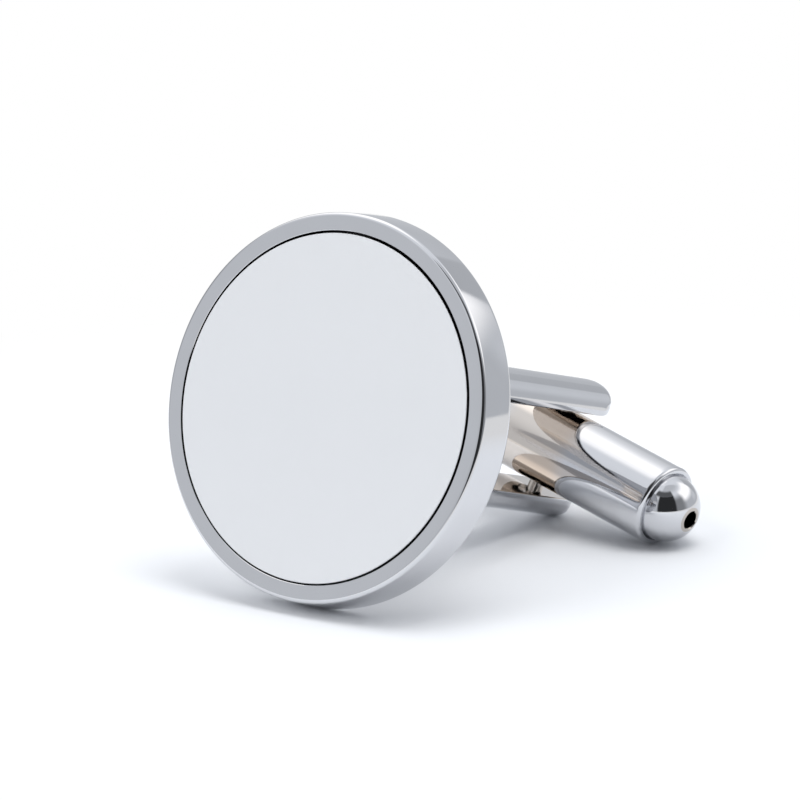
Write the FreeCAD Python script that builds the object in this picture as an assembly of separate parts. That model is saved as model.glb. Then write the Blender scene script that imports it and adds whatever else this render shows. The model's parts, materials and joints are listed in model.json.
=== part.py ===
import FreeCAD, Part
import math
import os

# Round cufflink with a bullet toggle. Lengths are in millimetres.
# Pieces are drawn in the head's own frame: X runs along the opened toggle towards its nose,
# Y runs backwards from the front of the head, and Z runs along the pivot pin.
# At the end the whole cufflink is laid on the table, with Z up and the head facing -Y.

Vec = FreeCAD.Vector
ORIGIN = Vec(0, 0, 0)
ALONG_X = Vec(1, 0, 0)
ALONG_Y = Vec(0, 1, 0)
ALONG_Z = Vec(0, 0, 1)

# Head: a shallow cup with a flat bezel ring, its wall leaning out towards the back
head_diameter = 18.0
head_thickness = 2.12
head_flare = 0.17
head_back_round = 0.35
bezel_width = 0.83
bezel_edge_round = 0.22
bezel_lip_bevel = 0.08
head_floor = 1.05

# Face insert and the glue pad under it
insert_side_gap = 0.1
insert_setback = 0.02
insert_drop_share = 0.38
insert_edge_round = 0.05
glue_thickness = 0.12
glue_margin = 0.6

# Stirrup: two half-round legs on a bridge, soldered to the back of the head, off its middle
post_aside = 0.78
leg_width = 2.8
leg_wall = 0.29
leg_crown = 0.98
leg_overhang = 2.25
leg_end_round_share = 0.9
bridge_thickness = 1.9
bridge_corner_share = 0.56
solder_thickness = 0.1
solder_margin = 0.25

# Pivot pin: thin ends seated in the legs, wider journals in the barrel, a squared middle
pivot_height = 15.28
pin_end_diameter = 0.75
pin_seat_share = 0.6
journal_diameter = 1.5
journal_clearance = 0.03
cam_flat_share = 0.74

# Toggle: a barrel with a solid domed plug in its nose and a thin domed cap in its tail
barrel_diameter = 3.9
barrel_wall = 0.32
barrel_length = 14.5
barrel_side_play = 0.2
barrel_end_round_share = 0.8
barrel_mouth_bevel = 0.08
plug_shank_share = 0.31
cap_shank_share = 0.2
cap_wall = 0.3
vent_diameter = 0.86
vent_bevel = 0.05

# Detent: a spring presses the follower's nose on the squared middle of the pin
follower_clearance = 0.05
follower_lift_gap = 0.03
follower_nose_diameter = 2.0
follower_nose_length = 0.35
follower_skirt_share = 0.2
follower_spigot_gap = 0.23
follower_spigot_length = 0.5
cam_end_gap = 0.15
spring_wire = 0.3
spring_side_gap = 0.2
spring_turns = 3

# Drilling tools run past the faces that they cut by this much
overrun = 1.0

# Laying on the table: mesh fineness for the contact points, and a rough first guess of up
contact_fineness_share = 0.0006
rest_steps = 40
rest_guess = Vec(-1, -1, 3)

# Sizes that follow from the ones above
head_radius = head_diameter / 2
recess_depth = head_thickness - head_floor
recess_radius = head_radius - bezel_width
insert_radius = recess_radius - insert_side_gap
insert_back = recess_depth - glue_thickness
insert_drop = Vec(-1, 0, -1) * insert_drop_share * insert_side_gap
foot_y = head_thickness + solder_thickness
pivot = Vec(post_aside, head_thickness + pivot_height, 0)
barrel_radius = barrel_diameter / 2
bore_radius = barrel_radius - barrel_wall
barrel_end = barrel_length / 2
barrel_end_round = barrel_end_round_share * (barrel_wall - barrel_mouth_bevel)
leg_inner = barrel_radius + barrel_side_play
leg_half_width = leg_width / 2
leg_height = leg_wall + leg_crown
leg_outer = leg_inner + leg_height
leg_end_y = pivot.y + leg_overhang
leg_end_round = leg_end_round_share * leg_crown
bridge_corner_round = bridge_corner_share * leg_inner
pin_reach = leg_inner + pin_seat_share * leg_height
plug_shank_length = plug_shank_share * barrel_end
plug_inner_end = barrel_end - plug_shank_length
cap_shank_length = cap_shank_share * barrel_end
journal_radius = journal_diameter / 2
journal_end = math.sqrt(barrel_radius ** 2 - journal_radius ** 2)
cam_half_width = cam_flat_share * journal_radius
cam_half_length = follower_nose_diameter / 2 + cam_end_gap
follower_face = journal_radius + follower_lift_gap
follower_travel = journal_radius - cam_half_width
skirt_front = follower_face + follower_nose_length
skirt_length = follower_skirt_share * barrel_end
skirt_back = skirt_front + skirt_length
spring_radius = bore_radius - spring_side_gap - spring_wire / 2
spigot_radius = spring_radius - spring_wire / 2 - follower_spigot_gap


def rounded_outline(corners):
    """Face inside a closed outline of (point, round) corners; a round of zero keeps the corner sharp."""
    edges = []
    count = len(corners)
    starts = []
    ends = []
    arcs = []
    for index, (point, radius) in enumerate(corners):
        back = (corners[index - 1][0] - point).normalize()
        ahead = (corners[(index + 1) % count][0] - point).normalize()
        half_angle = back.getAngle(ahead) / 2
        inwards = (back + ahead).normalize() if radius else ORIGIN
        tangent = radius / math.tan(half_angle)
        reach = radius / math.sin(half_angle) - radius
        starts.append(point + back * tangent)
        ends.append(point + ahead * tangent)
        arcs.append(point + inwards * reach)
    for index, (point, radius) in enumerate(corners):
        if radius:
            edges.append(Part.Arc(starts[index], arcs[index], ends[index]).toShape())
        following = starts[(index + 1) % count]
        edges.append(Part.makeLine(ends[index], following))
    return Part.Face(Part.Wire(edges))


def turned_about_y(corners):
    """Solid of revolution about Y from (radius, y, round) corners."""
    outline = rounded_outline([(Vec(radius, y, 0), round_) for radius, y, round_ in corners])
    return outline.revolve(ORIGIN, ALONG_Y, 360)


def turned_about_toggle(corners):
    """Solid of revolution about the toggle's axis from (x, radius, round) corners."""
    outline = rounded_outline([(pivot + Vec(x, radius, 0), round_) for x, radius, round_ in corners])
    return outline.revolve(pivot, ALONG_X, 360)


def across_pivot(radius, reach):
    """Round bar on the pivot's axis, reaching equally far to both sides."""
    return Part.makeCylinder(radius, 2 * reach, pivot - ALONG_Z * reach, ALONG_Z)


def head_cup():
    """Shallow cup with a flat bezel ring and a recess for the insert."""
    return turned_about_y([
        (0, recess_depth, 0),
        (recess_radius, recess_depth, 0),
        (recess_radius, bezel_lip_bevel, 0),
        (recess_radius + bezel_lip_bevel, 0, 0),
        (head_radius, 0, bezel_edge_round),
        (head_radius + head_flare, head_thickness, head_back_round),
        (0, head_thickness, 0),
    ])


def face_insert():
    """Plain disc that fills the recess, a little behind the bezel, set low in its side gap."""
    disc = turned_about_y([
        (0, insert_setback, 0),
        (insert_radius, insert_setback, insert_edge_round),
        (insert_radius, insert_back, 0),
        (0, insert_back, 0),
    ])
    return disc.translated(insert_drop)


def glue_pad():
    """Thin round pad between the recess floor and the insert."""
    return Part.makeCylinder(insert_radius - glue_margin, glue_thickness, ALONG_Y * insert_back, ALONG_Y)


def foot_outline(y, margin):
    """Outline of the stirrup's foot at one depth: both leg sections and the bridge, grown by a margin."""
    left = post_aside - leg_half_width - margin
    right = post_aside + leg_half_width + margin
    edge = leg_inner + leg_wall
    crown = leg_outer + margin
    low_left = Vec(left, y, -edge)
    low_right = Vec(right, y, -edge)
    high_right = Vec(right, y, edge)
    high_left = Vec(left, y, edge)
    return Part.Face(Part.Wire([
        Part.Arc(low_left, Vec(post_aside, y, -crown), low_right).toShape(),
        Part.makeLine(low_right, high_right),
        Part.Arc(high_right, Vec(post_aside, y, crown), high_left).toShape(),
        Part.makeLine(high_left, low_left),
    ]))


def solder_joint():
    """Solder layer between the back of the head and the stirrup's foot."""
    return foot_outline(head_thickness, solder_margin).extrude(ALONG_Y * solder_thickness)


def stirrup():
    """U-shaped post with half-round legs, their ends rounded in plan and over the top."""
    post = foot_outline(foot_y, 0).extrude(ALONG_Y * (leg_end_y - foot_y))
    left = post_aside - leg_half_width
    end_centre = Vec(post_aside, leg_end_y - leg_half_width, 0)
    straight = Part.makeBox(leg_width, end_centre.y - foot_y, 2 * leg_outer, Vec(left, foot_y, -leg_outer))
    end = rounded_outline([
        (end_centre + Vec(0, 0, -leg_outer), 0),
        (end_centre + Vec(leg_half_width, 0, -leg_outer), leg_end_round),
        (end_centre + Vec(leg_half_width, 0, leg_outer), leg_end_round),
        (end_centre + Vec(0, 0, leg_outer), 0),
    ]).revolve(end_centre, ALONG_Z, 360)
    inside = rounded_outline([
        (Vec(left - overrun, foot_y + bridge_thickness, -leg_inner), bridge_corner_round),
        (Vec(left - overrun, leg_end_y + overrun, -leg_inner), 0),
        (Vec(left - overrun, leg_end_y + overrun, leg_inner), 0),
        (Vec(left - overrun, foot_y + bridge_thickness, leg_inner), bridge_corner_round),
    ]).extrude(ALONG_X * (leg_width + 2 * overrun))
    seats = across_pivot(pin_end_diameter / 2, pin_reach)
    return post.common(straight.fuse(end)).cut(inside).cut(seats).removeSplitter()


def pivot_pin():
    """Stepped pin: ends seated in the legs, journals in the barrel, and a squared middle for the detent."""
    ends = across_pivot(pin_end_diameter / 2, pin_reach)
    journal = across_pivot(journal_radius, journal_end)
    sleeve = across_pivot(journal_radius + overrun, cam_half_length)
    square = Part.makeBox(2 * cam_half_width, 2 * cam_half_width, 2 * cam_half_length,
                          pivot - Vec(cam_half_width, cam_half_width, cam_half_length))
    return journal.cut(sleeve.cut(square)).fuse(ends).removeSplitter()


def toggle_barrel():
    """Hollow barrel with rounded ends, cross-drilled for the pin."""
    barrel = turned_about_toggle([
        (-barrel_end, bore_radius + barrel_mouth_bevel, 0),
        (-barrel_end, barrel_radius, barrel_end_round),
        (barrel_end, barrel_radius, barrel_end_round),
        (barrel_end, bore_radius + barrel_mouth_bevel, 0),
        (barrel_end - barrel_mouth_bevel, bore_radius, 0),
        (-barrel_end + barrel_mouth_bevel, bore_radius, 0),
    ])
    return barrel.cut(across_pivot(journal_radius + journal_clearance, barrel_radius + overrun))


def domed_rod(radius, shank_length):
    """Round rod along the toggle with a half-ball end, from inside the barrel's mouth outwards."""
    shank = Part.makeCylinder(radius, shank_length, pivot + ALONG_X * (barrel_end - shank_length), ALONG_X)
    dome = Part.makeSphere(radius, pivot + ALONG_X * barrel_end, ALONG_X, 0, 90, 360)
    return shank.fuse(dome).removeSplitter()


def nose_plug():
    """Solid domed plug with a beveled vent down its middle; its inner end seats the spring."""
    vent_radius = vent_diameter / 2
    vent_length = plug_shank_length + bore_radius + 2 * overrun
    vent = Part.makeCylinder(vent_radius, vent_length, pivot + ALONG_X * (plug_inner_end - overrun), ALONG_X)
    rim_radius = vent_radius + vent_bevel
    rim_x = barrel_end + math.sqrt(bore_radius ** 2 - rim_radius ** 2)
    bevel = Part.makeCone(vent_radius, rim_radius + overrun, vent_bevel + overrun,
                          pivot + ALONG_X * (rim_x - vent_bevel), ALONG_X)
    return domed_rod(bore_radius, plug_shank_length).cut(vent).cut(bevel)


def tail_cap():
    """Thin drawn cap that closes the other end of the barrel."""
    hollow = domed_rod(bore_radius - cap_wall, cap_shank_length)
    return domed_rod(bore_radius, cap_shank_length).cut(hollow).mirror(pivot, ALONG_X)


def detent_follower():
    """Piston with a flat nose on the pin's side and a spigot inside the spring."""
    lengths = [
        (follower_nose_diameter / 2, follower_face, follower_nose_length),
        (bore_radius - follower_clearance, skirt_front, skirt_length),
        (spigot_radius, skirt_back, follower_spigot_length),
    ]
    steps = [Part.makeCylinder(radius, length, pivot + ALONG_X * x, ALONG_X) for radius, x, length in lengths]
    return steps[0].fuse(steps[1:]).removeSplitter()


def arc_towards(start, corner, end):
    """Arc from start to end whose tangents meet at the corner."""
    middle = (start + end) * 0.5
    half_chord = (end - start).Length / 2
    half_angle = (corner - start).getAngle(end - start)
    sagitta = half_chord * math.tan(half_angle / 2)
    return Part.Arc(start, middle + (corner - middle).normalize() * sagitta, end).toShape()


def biarc(start, start_way, end, end_way):
    """Two arcs that leave start and reach end along the given unit directions."""
    span = end - start
    both = start_way + end_way
    bend = 2 * (1 - start_way.dot(end_way))
    across = span.dot(both)
    leg = (math.sqrt(across ** 2 + bend * span.dot(span)) - across) / bend
    first = start + start_way * leg
    second = end - end_way * leg
    meeting = (first + second) * 0.5
    return [arc_towards(start, first, meeting), arc_towards(meeting, second, end)]


def detent_spring():
    """Coil spring between the follower's skirt and the nose plug, as one unbroken tube of quarter turns."""
    first_x = skirt_back + spring_wire / 2
    length = plug_inner_end - skirt_back - spring_wire
    quarters = 4 * spring_turns
    rise = length / (spring_turns * 2 * math.pi)
    points = []
    ways = []
    for quarter in range(quarters + 1):
        turn = quarter * math.pi / 2
        outwards = Vec(0, math.cos(turn), math.sin(turn))
        around = ALONG_X.cross(outwards)
        points.append(pivot + ALONG_X * (first_x + rise * turn) + outwards * spring_radius)
        ways.append((ALONG_X * rise + around * spring_radius).normalize())
    arcs = []
    for quarter in range(quarters):
        arcs += biarc(points[quarter], ways[quarter], points[quarter + 1], ways[quarter + 1])
    print("spring: gap between turns %.2f mm" % (length / spring_turns - spring_wire))
    section = Part.Wire(Part.makeCircle(spring_wire / 2, points[0], ways[0]))
    return Part.Wire(arcs).makePipeShell([section], True, False)


def table_up(feet):
    """Up direction of the table that the lowest points of three pieces stand on."""
    up = Vec(rest_guess).normalize()
    clouds = [foot.tessellate(contact_fineness_share * head_diameter)[0] for foot in feet]
    contacts = None
    for step in range(rest_steps):
        lowest = [min(cloud, key=up.dot) for cloud in clouds]
        if lowest == contacts:
            break
        contacts = lowest
        normal = (contacts[1] - contacts[0]).cross(contacts[2] - contacts[0]).normalize()
        up = normal if normal.dot(up) > 0 else -normal
    return up


def rest_placement(pieces):
    """Placement that lays the cufflink on the table: Z up, head facing -Y, origin under its middle."""
    up = table_up([pieces["head_cup"], pieces["stirrup"], pieces["nose_plug"].fuse(pieces["toggle_barrel"])])
    back = (ALONG_Y - up * up.dot(ALONG_Y)).normalize()
    right = back.cross(up)
    turn = FreeCAD.Placement(FreeCAD.Matrix(
        right.x, right.y, right.z, 0,
        back.x, back.y, back.z, 0,
        up.x, up.y, up.z, 0,
        0, 0, 0, 1))
    box = FreeCAD.BoundBox()
    for shape in pieces.values():
        box.add(shape.transformed(turn.toMatrix(), True).optimalBoundingBox(False))
    shift = Vec(-box.Center.x, -box.Center.y, -box.ZMin)
    return FreeCAD.Placement(shift, turn.Rotation)


def build_pieces():
    """Every piece by node name, in the head's frame."""
    makers = [head_cup, face_insert, glue_pad, solder_joint, stirrup, pivot_pin,
              toggle_barrel, nose_plug, tail_cap, detent_follower, detent_spring]
    return {maker.__name__: maker().Solids[0] for maker in makers}


def main():
    pieces = build_pieces()
    placement = rest_placement(pieces)
    os.makedirs("parts", exist_ok=True)
    for name, shape in pieces.items():
        placed = shape.transformed(placement.toMatrix(), True)
        placed.exportStep("parts/%s.step" % name)
        facts = (name, placed.isValid(), len(placed.Solids), placed.Volume)
        print("%-16s valid %s solids %d volume %.2f" % facts)


if __name__ == "__main__":
    main()
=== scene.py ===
import json
import math

import bmesh
import bpy
from mathutils import Matrix, Vector


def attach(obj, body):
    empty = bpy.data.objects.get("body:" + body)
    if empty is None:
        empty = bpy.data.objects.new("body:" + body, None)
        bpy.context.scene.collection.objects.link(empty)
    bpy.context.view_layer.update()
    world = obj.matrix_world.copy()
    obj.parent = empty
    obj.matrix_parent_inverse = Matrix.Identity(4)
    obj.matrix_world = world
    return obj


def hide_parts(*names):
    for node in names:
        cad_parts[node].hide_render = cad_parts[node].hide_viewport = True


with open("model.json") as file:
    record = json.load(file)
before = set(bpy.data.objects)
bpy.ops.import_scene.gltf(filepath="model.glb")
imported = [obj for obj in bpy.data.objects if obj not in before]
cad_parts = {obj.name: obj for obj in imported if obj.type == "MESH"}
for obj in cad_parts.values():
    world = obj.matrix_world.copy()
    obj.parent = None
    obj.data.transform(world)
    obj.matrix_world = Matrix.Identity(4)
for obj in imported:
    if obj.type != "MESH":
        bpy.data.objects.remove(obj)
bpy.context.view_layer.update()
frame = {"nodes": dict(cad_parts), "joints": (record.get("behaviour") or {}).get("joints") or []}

# Round cufflink with a bullet toggle, lying on a white table.
# Pieces are drawn in millimetres in the pivot's own frame: the origin is the middle of the pivot pin,
# X runs along the toggle to its nose, Y runs backwards from the head, and Z runs along the pin.

MILLIMETRE = 0.001
QUARTER_TURN = math.pi / 2

# Sizes of the details that the frame doesn't give, in millimetres
bezel_width = 0.83
bezel_edge_round = 0.22
bezel_lip_bevel = 0.02
head_radius = 9.0
head_flare = 0.17
head_back_round = 0.35
insert_edge_round = 0.05
leg_wall = 0.29
leg_inner = 2.15
leg_end_round = 0.88
leg_end_blend = 0.30
leg_rim_round = 0.08
leg_tip_round = 0.3
bridge_thickness = 1.9
bridge_corner_round = 1.2
barrel_end_round = 0.19
barrel_mouth_bevel = 0.08
pin_hole_radius = 0.78
thin_plate_half_length = 1.0
thin_plate_fade_end = 3.2
vent_radius = 0.43
vent_bevel = 0.04
vent_ring = 0.2
cap_wall = 0.3

# Fineness of the round surfaces
turn_steps = 256
arc_steps = 10
rim_steps = 8
barrel_ring_steps = 120
leg_across_steps = 40
leg_end_steps = 28

# Distances in millimetres below which a point is on the axis, on a face or on the vent's wall,
# and below which two points are one
axis_distance = 1e-9
face_distance = 1e-6
vent_distance = 1e-3
weld_distance = 1e-5

# Edges sharper than these angles, in degrees, stay sharp; large flat faces rule the shading beside them
sharp_angle = 30
post_sharp_angle = 15
flat_face_weight = 100

# How bare the plate is: polished all over, thin where little of it reached, worn round the vent;
# the recess, the vent and the insert's side get painted shade, near black
POLISHED = 0.0
THIN_PLATE = 0.5
WORN_PLATE = 0.7
# Painted shade: near black in the recess, in the vent and at the insert's side
PAINTED_BLACK_SHADE = 1.0

# Plate: its colours, with near black for the painted shade, the bareness at which each sets in, and its
# finish, with lengths in millimetres
plate_dark = (0.63, 0.635, 0.655)
plate_light = (0.66, 0.665, 0.685)
thin_plate_warm = (0.665, 0.615, 0.57)
# Painted shade: the near black of the recess, the vent and the insert's side
painted_shade_black = (0.012, 0.012, 0.013)
thin_from = 0.1
wear_and_shade_from = 0.6
wear_and_shade_full = 0.9
haze_size = 1.4
haze_span = (0.35, 0.75)
haze_roughness = (0.035, 0.075)
bare_roughness = 0.05
plate_grain_size = 0.05
plate_grain_depth = 0.0004

# Coat on the insert's face
coat_dark = (0.795, 0.805, 0.822)
coat_light = (0.81, 0.82, 0.837)
coat_cloud_size = 3.0
coat_grain_size = 0.08
coat_grain_depth = 0.002
coat_roughness = (0.36, 0.46)

# Pad of adhesive
glue_dark = (0.58, 0.52, 0.38)
glue_light = (0.68, 0.62, 0.48)
glue_cloud_size = 0.8
glue_relief = 0.01
glue_roughness = (0.4, 0.6)

# Metals of the inner nodes as (node, material, darker, lighter, roughness, blotch size, relief)
inner_metals = [
    ("solder_joint", "solder", (0.42, 0.42, 0.42), (0.55, 0.55, 0.55), 0.35, 0.4, 0.01),
    ("pivot_pin", "pin_steel", (0.60, 0.56, 0.52), (0.68, 0.64, 0.60), 0.16, 0.5, 0.001),
    ("detent_follower", "brass", (0.58, 0.42, 0.17), (0.68, 0.51, 0.23), 0.25, 0.5, 0.002),
    ("detent_spring", "spring_steel", (0.32, 0.32, 0.33), (0.42, 0.42, 0.43), 0.3, 0.3, 0.002),
]
blotch_roughening = 1.4
grains_per_blotch = 8

# Noise: how much detail it has, and the span of its values that roughness follows
cloud_detail = 3.0
grain_detail = 2.0
noise_span = (0.3, 0.7)

# Camera, from the photograph's viewing angle
view_azimuth = 37.703
view_elevation = 15.346
view_roll = -1.510
view_distance = 0.409778
view_aim = Vector((-0.002535, 0.000534, 0.007189))
camera_lens = 394.2
camera_sensor = 36.0
camera_near = 0.01
camera_far = 10.0

# Tent: its light near the horizon and overhead, the elevations between which one turns into the other,
# and the top of the white sweep below the horizon, in degrees
tent_tint = (0.95, 0.98, 1.03)
panel_tint = (1.0, 0.99, 0.985)
tent_low = 0.66
tent_high = 1.0
tent_low_until = 10
tent_high_from = 60
sweep_top = -6.0
sweep_edge = 0.4

# Panels of the tent as (azimuth, elevation, half width, half height, soft edge, strength), in degrees;
# azimuth is zero in front of the head, and a later panel covers an earlier one
tent_panels = [
    (-97, 62, 24, 16, 18, 1.65),     # softbox high on the left
    (-127, 49, 24, 27, 8, 1.65),     # softbox behind on the left
    (138, 37, 34, 15, 8, 1.6),       # softbox behind on the right
    (-105, 10, 32, 9, 5, 0.40),      # grey strip low on the left
    (164, 11, 14, 6, 6, 0.81),       # glow under the right softbox
    (181, 19, 10, 15, 1.5, 0.60),    # grey gap beside the right softbox
    (80, 77, 70, 16, 10, 0.70),      # grey roof
    (-42, 8, 14, 22, 9, 0.74),       # pale wall in front on the left
    (86, 14, 22, 26, 12, 0.30),      # dim wall on the right
    (28, 57, 45, 9.5, 5, 0.13),      # dark band above the camera
    (40, 23, 33, 27, 4, 0.035),      # dark opening round the camera
]

# Soft lamps as (name, azimuth, elevation, power): over the table and in front of the head
lamp_distance = 0.6
lamp_size = 0.35
lamps = [
    ("top", 95, 76, 1.4),
    ("front", -20, 40, 0.78),
]

# Table, with the fibre of its paper in millimetres
table_radius = 0.088
table_white = (0.93, 0.942, 0.96)
table_fade_start = 0.022
table_fade_end = 0.048
paper_fibre_size = 0.4
paper_fibre_depth = 0.002


def joint_named(name):
    """The frame's joint of that name."""
    return next(joint for joint in frame["joints"] if joint["name"] == name)


def pivot_frame():
    """Matrix from millimetres in the pivot's frame to the row frame."""
    pin_way = Vector(joint_named("toggle_turn")["axis"]).normalized()
    nose_way = Vector(joint_named("follower_slide")["axis"]).normalized()
    back_way = pin_way.cross(nose_way)
    turn = Matrix((nose_way, back_way, pin_way)).transposed().to_4x4()
    place = Matrix.Translation(Vector(joint_named("toggle_turn")["pos_m"]))
    return place @ turn @ Matrix.Scale(MILLIMETRE, 4)


TO_ROW = pivot_frame()


def local_points(node):
    """A CAD node's points in the pivot's frame, in millimetres."""
    to_local = TO_ROW.inverted()
    return [to_local @ vertex.co for vertex in frame["nodes"][node].data.vertices]


def middle(values):
    """Halfway between the least and the greatest value."""
    values = list(values)
    return (min(values) + max(values)) / 2


# Sizes that the frame gives
head_points = local_points("head_cup")
head_front = min(point.y for point in head_points)
head_back = max(point.y for point in head_points)
head_aside = middle(point.x for point in head_points)
insert_points = local_points("face_insert")
insert_front = min(point.y for point in insert_points)
insert_back = max(point.y for point in insert_points)
insert_aside = middle(point.x for point in insert_points)
insert_up = middle(point.z for point in insert_points)
insert_radius = max(point.x for point in insert_points) - insert_aside
glue_back = max(point.y for point in local_points("glue_pad"))
stirrup_points = local_points("stirrup")
leg_half_width = max(point.x for point in stirrup_points)
leg_outer = max(point.z for point in stirrup_points)
leg_end = max(point.y for point in stirrup_points)
foot = min(point.y for point in stirrup_points)
barrel_points = local_points("toggle_barrel")
barrel_end = max(point.x for point in barrel_points)
barrel_radius = max(math.hypot(point.y, point.z) for point in barrel_points)
plug_points = local_points("nose_plug")
bore_radius = max(math.hypot(point.y, point.z) for point in plug_points)
plug_inner_end = min(point.x for point in plug_points)
cap_inner_end = max(point.x for point in local_points("tail_cap"))

# Sizes that follow from the others
recess_radius = head_radius - bezel_width
leg_height = leg_outer - leg_inner
leg_crown = leg_height - leg_wall
leg_round_start = leg_end - leg_half_width
bridge_top = foot + bridge_thickness
corner_y = bridge_top + bridge_corner_round
corner_z = leg_inner - bridge_corner_round


def arc_points(before, corner, after, radius):
    """Points of the arc that rounds one corner of an outline."""
    if not radius:
        return [corner]
    back = (before - corner).normalized()
    ahead = (after - corner).normalized()
    half_angle = back.angle(ahead) / 2
    start = corner + back * (radius / math.tan(half_angle))
    centre = corner + (back + ahead).normalized() * (radius / math.sin(half_angle))
    sweep = math.pi - 2 * half_angle
    side = 1 if back.cross(ahead) < 0 else -1
    spoke = start - centre
    points = []
    for step in range(arc_steps + 1):
        turn = Matrix.Rotation(side * sweep * step / arc_steps, 2)
        points.append(centre + turn @ spoke)
    return points


def rounded(corners, closed):
    """Outline through (along, out, round) corners, with their rounds drawn as arcs."""
    places = [Vector(corner[:2]) for corner in corners]
    count = len(corners)
    outline = []
    for index, corner in enumerate(corners):
        at_end = not closed and index in (0, count - 1)
        before = places[index - 1]
        after = places[(index + 1) % count]
        outline += arc_points(before, places[index], after, 0 if at_end else corner[2])
    return outline


def along_toggle(along, out, turn):
    """Place on a piece turned about the toggle's axis."""
    return Vector((along, out * math.cos(turn), out * math.sin(turn)))


def along_head(along, out, turn):
    """Place on a piece turned about the head's axis."""
    return Vector((head_aside + out * math.cos(turn), along, out * math.sin(turn)))


def turned(outline, place, closed):
    """Mesh of revolution; an open outline starts and ends on the axis."""
    mesh = bmesh.new()
    turns = [2 * math.pi * step / turn_steps for step in range(turn_steps)]
    rings = []
    for point in outline:
        on_axis = point.y < axis_distance
        ring_turns = turns[:1] if on_axis else turns
        rings.append([mesh.verts.new(place(point.x, point.y, turn)) for turn in ring_turns])
    pairs = list(zip(rings, rings[1:]))
    if closed:
        pairs.append((rings[-1], rings[0]))
    for first, second in pairs:
        for step in range(turn_steps):
            after = (step + 1) % turn_steps
            corners = [first[step % len(first)], first[after % len(first)],
                       second[after % len(second)], second[step % len(second)]]
            mesh.faces.new(list(dict.fromkeys(corners)))
    bmesh.ops.recalc_face_normals(mesh, faces=mesh.faces)
    return mesh


def mark_bareness_and_shade(mesh, bareness_and_shade_at):
    """Stores on each face how bare its plate or coat is, and where shade is painted black."""
    layer = mesh.faces.layers.float.new("bareness_and_shade")
    for face in mesh.faces:
        face[layer] = bareness_and_shade_at(face.calc_center_median())


def ease(value, low, high):
    """Smooth step from 0 at the low value to 1 at the high one."""
    share = min(max((value - low) / (high - low), 0), 1)
    return share * share * (3 - 2 * share)


def head_painted_shade(place):
    """Painted shade: the recess behind the bezel's lip is drawn near black."""
    out = math.hypot(place.x - head_aside, place.z)
    behind_lip = head_front + bezel_lip_bevel < place.y <= glue_back + face_distance
    return PAINTED_BLACK_SHADE if behind_lip and out <= recess_radius + face_distance else POLISHED


def head_mesh():
    """Shallow cup with a flat bezel ring."""
    mesh = turned(rounded([
        (glue_back, 0, 0),
        (glue_back, recess_radius, 0),
        (head_front + bezel_lip_bevel, recess_radius, 0),
        (head_front, recess_radius + bezel_lip_bevel, 0),
        (head_front, head_radius, bezel_edge_round),
        (head_back, head_radius + head_flare, head_back_round),
        (head_back, 0, 0),
    ], False), along_head, False)
    mark_bareness_and_shade(mesh, head_painted_shade)
    return mesh


def insert_side_shade(place):
    """Painted shade: the insert's side is drawn near black, and the coat is only on its face."""
    return PAINTED_BLACK_SHADE if place.y > insert_front + insert_edge_round / 2 else POLISHED


def insert_mesh():
    """Plain disc with a fine round at its edges, set low in the recess."""
    mesh = turned(rounded([
        (insert_front, 0, 0),
        (insert_front, insert_radius, insert_edge_round),
        (insert_back, insert_radius, insert_edge_round),
        (insert_back, 0, 0),
    ], False), along_head, False)
    bmesh.ops.translate(mesh, verts=mesh.verts, vec=(insert_aside - head_aside, 0, insert_up))
    mark_bareness_and_shade(mesh, insert_side_shade)
    return mesh


def mesh_data(mesh, name):
    """Mesh data from a drawn mesh, which is used up."""
    data = bpy.data.meshes.new(name)
    mesh.to_mesh(data)
    mesh.free()
    return data


def new_object(name, data):
    """Object of that name in the scene."""
    thing = bpy.data.objects.new(name, data)
    bpy.context.scene.collection.objects.link(thing)
    return thing


def cut_out(mesh, tool):
    """A mesh with another mesh cut out of it; both are used up."""
    blank = new_object("blank", mesh_data(mesh, "blank"))
    cutter = new_object("tool", mesh_data(tool, "tool"))
    cut = blank.modifiers.new("Cut", "BOOLEAN")
    cut.operation = "DIFFERENCE"
    cut.solver = "EXACT"
    cut.object = cutter
    result = bmesh.new()
    result.from_object(blank, bpy.context.evaluated_depsgraph_get())
    bpy.data.objects.remove(blank)
    bpy.data.objects.remove(cutter)
    return result


def barrel_bareness(place):
    """Little plate reached the part between the legs."""
    return THIN_PLATE * (1 - ease(abs(place.x), thin_plate_half_length, thin_plate_fade_end))


def barrel_rings(radius):
    """Outline corners along the barrel's wall, close together where its plate changes."""
    last = barrel_end - 2 * barrel_end_round
    places = [last * (2 * step / barrel_ring_steps - 1) for step in range(barrel_ring_steps + 1)]
    return [(place, radius, 0) for place in places]


def barrel_mesh():
    """Open tube with rounded ends and beveled mouths, cross-drilled for the pin."""
    mouth = bore_radius + barrel_mouth_bevel
    tube = turned(rounded([
        (-barrel_end, mouth, 0),
        (-barrel_end, barrel_radius, barrel_end_round),
        *barrel_rings(barrel_radius),
        (barrel_end, barrel_radius, barrel_end_round),
        (barrel_end, mouth, 0),
        (barrel_end - barrel_mouth_bevel, bore_radius, 0),
        *barrel_rings(bore_radius)[::-1],
        (-barrel_end + barrel_mouth_bevel, bore_radius, 0),
    ], True), along_toggle, True)
    drill = bmesh.new()
    bmesh.ops.create_cone(drill, cap_ends=True, segments=turn_steps // 2, radius1=pin_hole_radius,
                          radius2=pin_hole_radius, depth=3 * barrel_radius)
    mesh = cut_out(tube, drill)
    mark_bareness_and_shade(mesh, barrel_bareness)
    return mesh


def dome_points(radius, rim):
    """Points of a half-ball end, from its equator to the given rim radius."""
    last = math.acos(rim / radius)
    steps = 4 * arc_steps
    turns = [last * step / steps for step in range(steps + 1)]
    return [Vector((barrel_end + radius * math.sin(turn), radius * math.cos(turn))) for turn in turns]


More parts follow.
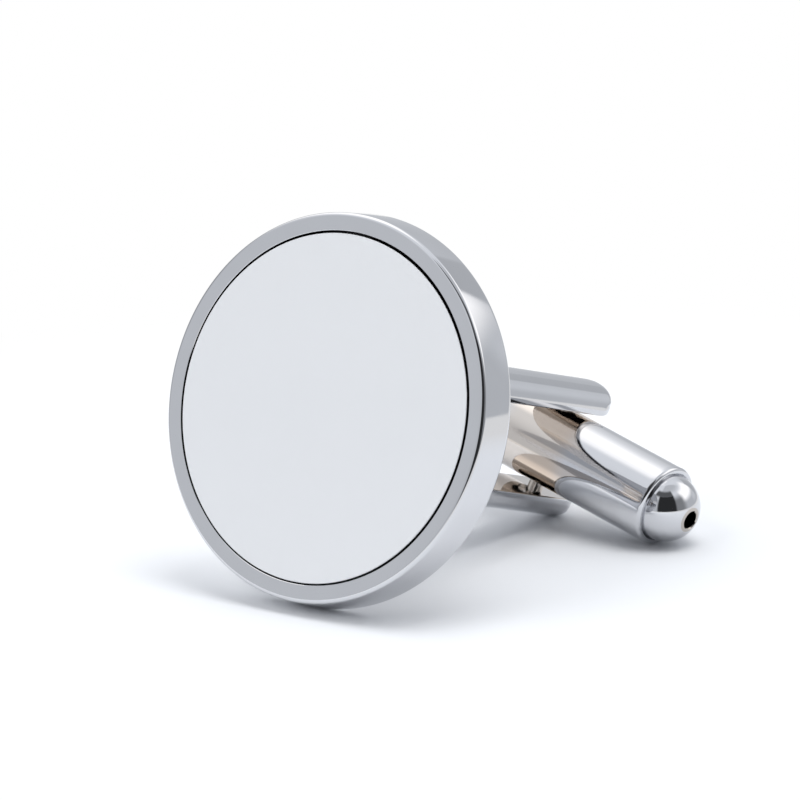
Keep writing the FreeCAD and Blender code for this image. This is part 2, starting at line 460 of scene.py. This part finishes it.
def plug_shade_and_wear(place):
    """The vent's wall gets painted shade, near black, and a ring round its mouth is worn."""
    out = math.hypot(place.y, place.z)
    # Painted shade: the vent's wall is near black
    if out < vent_radius + vent_distance:
        return PAINTED_BLACK_SHADE
    return WORN_PLATE if out < vent_radius + vent_ring and place.x > barrel_end else POLISHED


def plug_mesh():
    """Domed plug with a beveled vent through it."""
    dome = dome_points(bore_radius, vent_radius + vent_bevel)
    vent_mouth = Vector((dome[-1].x - vent_bevel, vent_radius))
    inner = [Vector((plug_inner_end, vent_radius)), Vector((plug_inner_end, bore_radius))]
    mesh = turned(inner + dome + [vent_mouth], along_toggle, True)
    mark_bareness_and_shade(mesh, plug_shade_and_wear)
    return mesh


def cap_mesh():
    """Thin drawn cap over the barrel's other end."""
    outside = dome_points(bore_radius, 0)
    inside = dome_points(bore_radius - cap_wall, 0)
    mouth = [Vector((-cap_inner_end, bore_radius - cap_wall)), Vector((-cap_inner_end, bore_radius))]
    outline = inside[::-1] + mouth + outside
    return turned([Vector((-point.x, point.y)) for point in outline], along_toggle, False)


def leg_top(across, along):
    """Height of a leg's round outside over its inner face, with its end turned over."""
    crown_radius = (leg_half_width ** 2 + leg_crown ** 2) / (2 * leg_crown)
    crown = leg_height - crown_radius + math.sqrt(crown_radius ** 2 - across ** 2)
    past = along - leg_round_start
    if past <= 0:
        return crown
    into_round = max(math.hypot(across, past) - (leg_half_width - leg_end_round), 0)
    end = leg_height - leg_end_round + math.sqrt(max(leg_end_round ** 2 - into_round ** 2, 0))
    blend = leg_end_blend * past / leg_half_width
    overlap = max(blend - abs(crown - end), 0)
    return min(crown, end) - overlap ** 2 / (4 * blend)


def tip_stations(inset_share, lift_share):
    """Stations round a leg's end, from its tip."""
    stations = []
    for step in range(leg_end_steps, -1, -1):
        turn = QUARTER_TURN * step / leg_end_steps
        rim = leg_rim_round + (leg_tip_round - leg_rim_round) * math.sin(turn)
        half_width = leg_half_width - rim * inset_share
        y = leg_round_start + half_width * math.sin(turn)
        inner = Vector((y, leg_inner + rim * lift_share))
        stations.append((inner, (y, 1.0), half_width * math.cos(turn)))
    return stations


def straight_stations(half_width, lift):
    """Stations along a leg, from its round end to the corner."""
    stations = []
    for step in range(1, arc_steps):
        y = leg_round_start + (corner_y - leg_round_start) * step / arc_steps
        stations.append((Vector((y, leg_inner + lift)), (y, 1.0), half_width))
    return stations


def corner_stations(half_width, lift):
    """Stations round the corner; their outside goes down to the foot, then inwards along it."""
    stations = []
    radius = bridge_corner_round + lift
    for step in range(arc_steps + 1):
        turn = QUARTER_TURN * step / arc_steps
        inner = Vector((corner_y - radius * math.sin(turn), corner_z + radius * math.cos(turn)))
        down = min(2 * step / arc_steps, 1)
        inwards = max(2 * step / arc_steps - 1, 0)
        outer_y = corner_y + (foot - corner_y) * down
        share = 1 - inwards * (1 - corner_z / leg_outer)
        stations.append((inner, (outer_y, share), half_width))
    return stations


def leg_stations(rim_turn):
    """(inner place, outer place, half width) from one leg's tip to the middle of the bridge.

    The inner place is (y, z) on the rim, from the inner face at no turn to the side wall at a quarter turn.
    The outer place is (y, share of the leg's full height from the middle).
    """
    inset_share = 1 - math.sin(rim_turn)
    lift_share = 1 - math.cos(rim_turn)
    half_width = leg_half_width - leg_rim_round * inset_share
    lift = leg_rim_round * lift_share
    stations = tip_stations(inset_share, lift_share)
    stations += straight_stations(half_width, lift)
    stations += corner_stations(half_width, lift)
    stations.append((Vector((bridge_top - lift, 0)), (foot, 0.0), half_width))
    return stations


def whole_path(stations):
    """Stations of both legs with the side of each, from the upper tip to the lower tip."""
    return [(station, 1) for station in stations] + [(station, -1) for station in stations[-2::-1]]


def outside_rows(mesh):
    """Rows of points along the post's outside, one for each step across it."""
    rows = []
    for step in range(leg_across_steps + 1):
        row = []
        for (_, (y, share), half_width), side in whole_path(leg_stations(QUARTER_TURN)):
            across = half_width * (2 * step / leg_across_steps - 1)
            row.append(mesh.verts.new((across, y, side * share * (leg_inner + leg_top(across, y)))))
        rows.append(row)
    return rows


def rim_rows(mesh, edge):
    """Rows of points round the rim between the post's inner face and one of its edges."""
    rows = []
    for step in range(rim_steps + 1):
        path = whole_path(leg_stations(QUARTER_TURN * step / rim_steps))
        rows.append([mesh.verts.new((edge * half_width, inner.x, side * inner.y))
                     for (inner, _, half_width), side in path])
    return rows


def join_rows(mesh, rows):
    """Faces between neighbouring rows of points."""
    for first, second in zip(rows, rows[1:]):
        for index in range(len(first) - 1):
            mesh.faces.new((first[index], first[index + 1], second[index + 1], second[index]))


def post_bareness(place):
    """The post's inner faces have thin plate."""
    clear_of_rim = abs(place.z) < leg_inner + leg_rim_round / 2
    return THIN_PLATE if clear_of_rim and place.y > foot + bridge_thickness / 2 else POLISHED


def post_mesh():
    """U-shaped post with half-round legs, drawn as rows along its length."""
    mesh = bmesh.new()
    left = rim_rows(mesh, -1)
    right = rim_rows(mesh, 1)
    join_rows(mesh, left + outside_rows(mesh) + right[::-1] + [left[0]])
    bmesh.ops.remove_doubles(mesh, verts=mesh.verts, dist=weld_distance)
    bmesh.ops.recalc_face_normals(mesh, faces=mesh.faces)
    mark_bareness_and_shade(mesh, post_bareness)
    return mesh


class Nodes:
    """Short ways to add nodes to one shader tree."""

    def __init__(self, tree):
        self.tree = tree
        self.tree.nodes.clear()

    def put(self, kind, settings=None, **sockets):
        """A node with its settings; a socket is given a number, a colour or another node's output.

        Sockets go by their name, with _ for a space, or by their number after an i.
        """
        node = self.tree.nodes.new(kind)
        for key, value in (settings or {}).items():
            setattr(node, key, value)
        for key, value in sockets.items():
            place = int(key[1:]) if key[0] == "i" and key[1:].isdigit() else key.replace("_", " ")
            socket = node.inputs[place]
            if isinstance(value, bpy.types.NodeSocket):
                self.tree.links.new(value, socket)
            else:
                socket.default_value = value
        return node

    def place(self):
        """Place on the object itself."""
        return self.put("ShaderNodeTexCoord").outputs["Object"]

    def bareness_and_shade(self):
        """How bare the surface is, and where shade is painted black, as stored on its faces."""
        return self.put("ShaderNodeAttribute", {"attribute_name": "bareness_and_shade"}).outputs["Fac"]

    def math(self, operation, first, second=0.0):
        """Output of a sum on two numbers."""
        return self.put("ShaderNodeMath", {"operation": operation}, i0=first, i1=second).outputs[0]

    def ramp(self, value, low, high, at_low=0.0, at_high=1.0):
        """Smooth step from one value to another."""
        node = self.put("ShaderNodeMapRange", {"interpolation_type": "SMOOTHSTEP"},
                        i0=value, i1=low, i2=high, i3=at_low, i4=at_high)
        return node.outputs[0]

    def mix(self, share, first, second):
        """Output of a colour mix."""
        node = self.put("ShaderNodeMix", {"data_type": "RGBA"}, i0=share, i6=first, i7=second)
        return node.outputs[2]

    def noise(self, place, size, detail=cloud_detail):
        """Noise from 0 to 1 whose blotches have the given size in millimetres."""
        node = self.put("ShaderNodeTexNoise", Vector=place, Scale=1 / (size * MILLIMETRE), Detail=detail)
        return node.outputs["Fac"]

    def bump(self, height, depth):
        """Normal of a surface with relief of the given depth in millimetres."""
        node = self.put("ShaderNodeBump", Strength=1.0, Distance=depth * MILLIMETRE, Height=height)
        return node.outputs["Normal"]


def colour(parts):
    """Colour with full cover."""
    return tuple(parts) + (1.0,)


def grey(strength, tint=(1.0, 1.0, 1.0)):
    """Tinted light of a given strength."""
    return colour(strength * part for part in tint)


def new_material(name):
    """Empty node material and its node helper."""
    material = bpy.data.materials.new(name)
    material.use_nodes = True
    return material, Nodes(material.node_tree)


def close_material(nodes, shader):
    """Joins a shader to the material's output."""
    nodes.put("ShaderNodeOutputMaterial", Surface=shader.outputs[0])


def plate_material():
    """Polished plate with a polishing haze; warmer where it is thin, darker on the worn ring, and painted
    shade, near black, in the recess and vent.
    """
    material, nodes = new_material("polished_plate")
    place = nodes.place()
    bareness_and_shade = nodes.bareness_and_shade()
    haze = nodes.noise(place, haze_size)
    grain = nodes.noise(place, plate_grain_size, grain_detail)
    thin = nodes.ramp(bareness_and_shade, thin_from, THIN_PLATE)
    # Painted shade: near black in the recess and vent, and a little darker on the worn ring round the vent
    wear_and_shade = nodes.ramp(bareness_and_shade, wear_and_shade_from, wear_and_shade_full)
    polished = nodes.mix(haze, colour(plate_dark), colour(plate_light))
    worn = nodes.mix(thin, polished, colour(thin_plate_warm))
    base = nodes.mix(wear_and_shade, worn, colour(painted_shade_black))
    hazy = nodes.ramp(haze, *haze_span, *haze_roughness)
    roughness = nodes.math("ADD", hazy, nodes.math("MULTIPLY", bareness_and_shade, bare_roughness))
    shader = nodes.put("ShaderNodeBsdfPrincipled", Base_Color=base, Metallic=1.0, Roughness=roughness,
                       Normal=nodes.bump(grain, plate_grain_depth))
    close_material(nodes, shader)
    return material


def coat_material():
    """Pale satin coat with a very fine grain; the insert's side gets painted shade, near black."""
    material, nodes = new_material("satin_coat")
    place = nodes.place()
    cloud = nodes.noise(place, coat_cloud_size)
    grain = nodes.noise(place, coat_grain_size, grain_detail)
    coat = nodes.mix(cloud, colour(coat_dark), colour(coat_light))
    # Painted shade: near black on the insert's side, in the gap round it
    base = nodes.mix(nodes.bareness_and_shade(), coat, colour(painted_shade_black))
    roughness = nodes.ramp(grain, *noise_span, *coat_roughness)
    shader = nodes.put("ShaderNodeBsdfPrincipled", Base_Color=base, Roughness=roughness,
                       Normal=nodes.bump(grain, coat_grain_depth))
    close_material(nodes, shader)
    return material


def metal_material(name, dark, light, rough, blotch, relief):
    """Plain metal: two close colours in blotches, with a fine relief."""
    material, nodes = new_material(name)
    place = nodes.place()
    cloud = nodes.noise(place, blotch)
    grain = nodes.noise(place, blotch / grains_per_blotch)
    base = nodes.mix(cloud, colour(dark), colour(light))
    roughness = nodes.ramp(cloud, *noise_span, rough, rough * blotch_roughening)
    shader = nodes.put("ShaderNodeBsdfPrincipled", Base_Color=base, Metallic=1.0, Roughness=roughness,
                       Normal=nodes.bump(grain, relief))
    close_material(nodes, shader)
    return material


def glue_material():
    """Cloudy pad of adhesive."""
    material, nodes = new_material("adhesive")
    cloud = nodes.noise(nodes.place(), glue_cloud_size)
    base = nodes.mix(cloud, colour(glue_dark), colour(glue_light))
    roughness = nodes.ramp(cloud, *noise_span, *glue_roughness)
    shader = nodes.put("ShaderNodeBsdfPrincipled", Base_Color=base, Roughness=roughness,
                       Normal=nodes.bump(cloud, glue_relief))
    close_material(nodes, shader)
    return material


def finished(mesh, name, material, sharp_from):
    """Object in the row frame from a drawn mesh, smooth apart from its sharp edges."""
    mesh.transform(TO_ROW)
    data = mesh_data(mesh, name)
    data.materials.append(material)
    data.shade_smooth()
    data.set_sharp_from_angle(angle=math.radians(sharp_from))
    piece = new_object(name, data)
    weighted = piece.modifiers.new("Flat faces stay flat", "WEIGHTED_NORMAL")
    weighted.keep_sharp = True
    weighted.weight = flat_face_weight
    return piece


def make_pieces():
    """Finer pieces in place of the CAD nodes that show."""
    plate = plate_material()
    coat = coat_material()
    pieces = [
        ("head_shell", head_mesh, plate, sharp_angle, "head", "head_cup", "plated_metal"),
        ("face_disc", insert_mesh, coat, sharp_angle, "head", "face_insert", "insert_face"),
        ("post", post_mesh, plate, post_sharp_angle, "head", "stirrup", "plated_metal"),
        ("barrel", barrel_mesh, plate, sharp_angle, "toggle", "toggle_barrel", "plated_metal"),
        ("nose", plug_mesh, plate, sharp_angle, "toggle", "nose_plug", "plated_metal"),
        ("tail", cap_mesh, plate, sharp_angle, "toggle", "tail_cap", "plated_metal"),
    ]
    for name, maker, material, sharp_from, body, node, slot in pieces:
        piece = finished(maker(), name, material, sharp_from)
        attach(piece, body)
        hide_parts(node)


def paint_inner_nodes():
    """Materials for the small CAD nodes that are kept as they are."""
    finishes = {"glue_pad": glue_material()}
    for node, *look in inner_metals:
        finishes[node] = metal_material(*look)
    for node, material in finishes.items():
        data = frame["nodes"][node].data
        data.materials.clear()
        data.materials.append(material)


def below(nodes, angle, limit, edge):
    """1 where an angle is below a limit and 0 above it, with a soft edge; limit and edge in degrees."""
    return nodes.ramp(angle, math.radians(limit - edge), math.radians(limit + edge), 1.0, 0.0)


def panel_cover(nodes, azimuth, elevation, at, height, half_width, half_height, edge):
    """1 in the directions of a panel and 0 beside it."""
    aside = nodes.math("SUBTRACT", azimuth, math.radians(at))
    wrapped = nodes.put("ShaderNodeMath", {"operation": "WRAP"}, i0=aside, i1=math.pi, i2=-math.pi)
    sideways = nodes.math("ABSOLUTE", wrapped.outputs[0])
    upwards = nodes.math("ABSOLUTE", nodes.math("SUBTRACT", elevation, math.radians(height)))
    across = below(nodes, sideways, half_width, edge)
    upright = below(nodes, upwards, half_height, edge)
    return nodes.math("MULTIPLY", across, upright)


def make_world():
    """White tent round the table: bright panels, a grey side, and a dark opening on the camera's side.

    The bright panels show in the plate, and the lamps light the table in their place.
    Everything sees the white sweep below the horizon. Above it the plate shows the tent, and the camera
    sees white.
    """
    world = bpy.data.worlds.new("studio")
    bpy.context.scene.world = world
    world.use_nodes = True
    nodes = Nodes(world.node_tree)
    rays = nodes.put("ShaderNodeLightPath").outputs
    way = nodes.put("ShaderNodeTexCoord").outputs["Generated"]
    parts = nodes.put("ShaderNodeSeparateXYZ", Vector=way).outputs
    azimuth = nodes.math("ARCTAN2", parts[0], nodes.math("MULTIPLY", parts[1], -1.0))
    elevation = nodes.math("ARCSINE", parts[2])
    overhead = nodes.ramp(elevation, math.radians(tent_low_until), math.radians(tent_high_from))
    light = nodes.mix(overhead, grey(tent_low, tent_tint), grey(tent_high, tent_tint))
    for *panel_place, strength in tent_panels:
        panel = grey(strength, tent_tint)
        if strength > tent_high:
            dimmed = grey(tent_high, tent_tint)
            panel = nodes.mix(rays["Is Diffuse Ray"], grey(strength, panel_tint), dimmed)
        light = nodes.mix(panel_cover(nodes, azimuth, elevation, *panel_place), light, panel)
    sweep = below(nodes, elevation, sweep_top, sweep_edge)
    straight = nodes.math("MAXIMUM", rays["Is Camera Ray"], rays["Is Transmission Ray"])
    white = nodes.math("MAXIMUM", straight, sweep)
    background = nodes.put("ShaderNodeBackground", Color=nodes.mix(white, light, grey(1.0)))
    nodes.put("ShaderNodeOutputWorld", Surface=background.outputs[0])


def from_bearing(azimuth, elevation):
    """Unit direction to a place at an azimuth and elevation in degrees, zero being in front of the head."""
    turn = math.radians(azimuth)
    rise = math.radians(elevation)
    return Vector((math.sin(turn) * math.cos(rise), -math.cos(turn) * math.cos(rise), math.sin(rise)))


def make_lamps():
    """Large soft lamps; the plate shows only the tent."""
    for name, azimuth, elevation, power in lamps:
        data = bpy.data.lights.new(name, "AREA")
        data.size = lamp_size
        data.energy = power
        lamp = new_object(name, data)
        way = from_bearing(azimuth, elevation)
        turn = way.to_track_quat("Z", "Y").to_matrix().to_4x4()
        lamp.matrix_world = Matrix.Translation(way * lamp_distance) @ turn
        lamp.visible_glossy = False
        lamp.visible_camera = False


def table_material():
    """White paper; towards the table's edge the camera and the plate see it as pure white."""
    material, nodes = new_material("table_white")
    place = nodes.place()
    away = nodes.put("ShaderNodeVectorMath", {"operation": "LENGTH"}, i0=place).outputs["Value"]
    fibre = nodes.noise(place, paper_fibre_size)
    rays = nodes.put("ShaderNodeLightPath").outputs
    reflected = nodes.math("MAXIMUM", rays["Is Glossy Ray"], rays["Is Transmission Ray"])
    seen = nodes.math("MAXIMUM", rays["Is Camera Ray"], reflected)
    paper = nodes.put("ShaderNodeBsdfDiffuse", Color=colour(table_white),
                      Normal=nodes.bump(fibre, paper_fibre_depth))
    glow = nodes.put("ShaderNodeEmission", Color=grey(1.0), Strength=1.0)
    fade = nodes.ramp(away, table_fade_start, table_fade_end)
    share = nodes.math("MULTIPLY", seen, fade)
    surface = nodes.put("ShaderNodeMixShader", i0=share, i1=paper.outputs[0], i2=glow.outputs[0])
    close_material(nodes, surface)
    return material


def make_table():
    """Round white table top."""
    mesh = bmesh.new()
    bmesh.ops.create_circle(mesh, cap_ends=True, radius=table_radius, segments=turn_steps)
    data = mesh_data(mesh, "table")
    data.materials.append(table_material())
    new_object("table", data)


def make_camera():
    """Long lens at the photograph's angle."""
    toward = from_bearing(view_azimuth, view_elevation)
    level_right = Vector((0, 0, 1)).cross(toward).normalized()
    roll = Matrix.Rotation(math.radians(view_roll), 3, toward)
    right = roll @ level_right
    up = toward.cross(right)
    turn = Matrix((right, up, toward)).transposed().to_4x4()
    data = bpy.data.cameras.new("camera")
    data.lens = camera_lens
    data.sensor_width = camera_sensor
    data.clip_start = camera_near
    data.clip_end = camera_far
    camera = new_object("camera", data)
    camera.matrix_world = Matrix.Translation(view_aim + toward * view_distance) @ turn
    bpy.context.scene.camera = camera
    bpy.context.scene.view_settings.view_transform = "Standard"


make_pieces()
paint_inner_nodes()
make_world()
make_lamps()
make_table()
make_camera()
